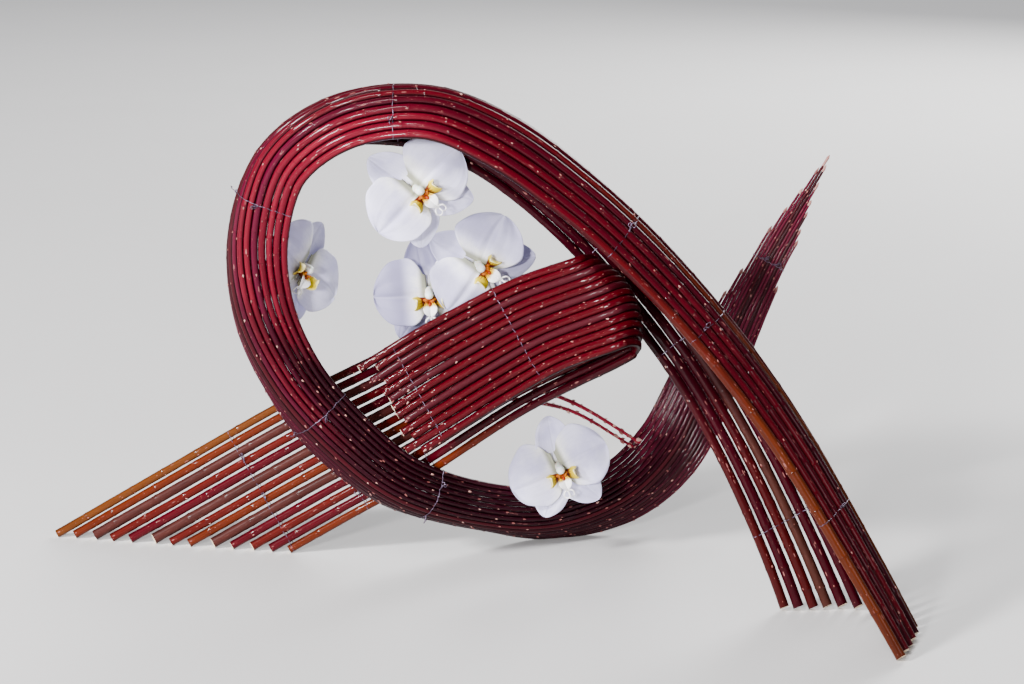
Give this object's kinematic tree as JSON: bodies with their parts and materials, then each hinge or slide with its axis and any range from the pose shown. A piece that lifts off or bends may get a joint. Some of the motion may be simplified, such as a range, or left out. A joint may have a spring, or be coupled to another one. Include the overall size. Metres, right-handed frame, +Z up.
{
  "type": "ikebana arrangement",
  "caption": "Free-standing arrangement: an open loop and a folded fan of red-barked canes laid side by side and wired, with white moth orchid blooms set among them.",
  "frame": {"origin": "middle of the arrangement's bounding box, on the surface that it stands on", "axes": "+X to the right along the longest extent, +Y away from the viewer, +Z up"},
  "size_m": [0.7832, 0.3582, 0.4561],
  "materials": {
    "bark_crimson": "smooth glossy red bark with pale lenticels",
    "bark_wine": "smooth glossy dark wine-red bark",
    "bark_orange": "satin orange-red bark",
    "bark_tan": "satin tan and ochre bark of the thick cane ends",
    "petal_white": "soft matt white petal with a faint lavender shade",
    "lip_yellow": "soft waxy yellow and white lip",
    "stalk_green": "smooth green flower stalk",
    "wire": "thin dull florist's wire"
  },
  "bodies": {
    "root": {"loop_cane_01": "bark_orange", "loop_cane_02": "bark_crimson", "loop_cane_03": "bark_crimson", "loop_cane_04": "bark_wine", "loop_cane_05": "bark_crimson", "loop_cane_06": "bark_orange", "loop_cane_07": "bark_crimson", "loop_cane_08": "bark_wine", "loop_cane_09": "bark_orange", "loop_cane_10": "bark_crimson", "loop_cane_11": "bark_crimson", "loop_cane_12": "bark_wine", "loop_cane_13": "bark_crimson", "loop_cane_14": "bark_orange", "loop_cane_15": "bark_crimson", "loop_cane_16": "bark_wine", "fan_cane_01": "bark_tan", "fan_cane_02": "bark_orange", "fan_cane_03": "bark_tan", "fan_cane_04": "bark_orange", "fan_cane_05": "bark_crimson", "fan_cane_06": "bark_tan", "fan_cane_07": "bark_crimson", "fan_cane_08": "bark_tan", "fan_cane_09": "bark_orange", "fan_cane_10": "bark_tan", "fan_cane_11": "bark_orange", "fan_cane_12": "bark_crimson", "fan_cane_13": "bark_tan", "loop_tie_1": "wire", "loop_tie_2": "wire", "loop_tie_3": "wire", "loop_tie_4": "wire", "loop_tie_5": "wire", "loop_tie_6": "wire", "loop_tie_7": "wire", "loop_tie_8": "wire", "fan_tie_1": "wire", "fan_tie_2": "wire", "fan_tie_3": "wire", "fan_tie_4": "wire", "fan_tie_5": "wire", "spray_twig_1": "bark_wine", "spray_twig_2": "bark_wine", "orchid_1_petals": "petal_white", "orchid_1_lip": "lip_yellow", "orchid_1_stalk": "stalk_green", "orchid_2_petals": "petal_white", "orchid_2_lip": "lip_yellow", "orchid_2_stalk": "stalk_green", "orchid_3_petals": "petal_white", "orchid_3_lip": "lip_yellow", "orchid_3_stalk": "stalk_green", "orchid_4_petals": "petal_white", "orchid_4_lip": "lip_yellow", "orchid_4_stalk": "stalk_green", "orchid_5_petals": "petal_white", "orchid_5_lip": "lip_yellow", "orchid_5_stalk": "stalk_green"}
  },
  "joints": []
}
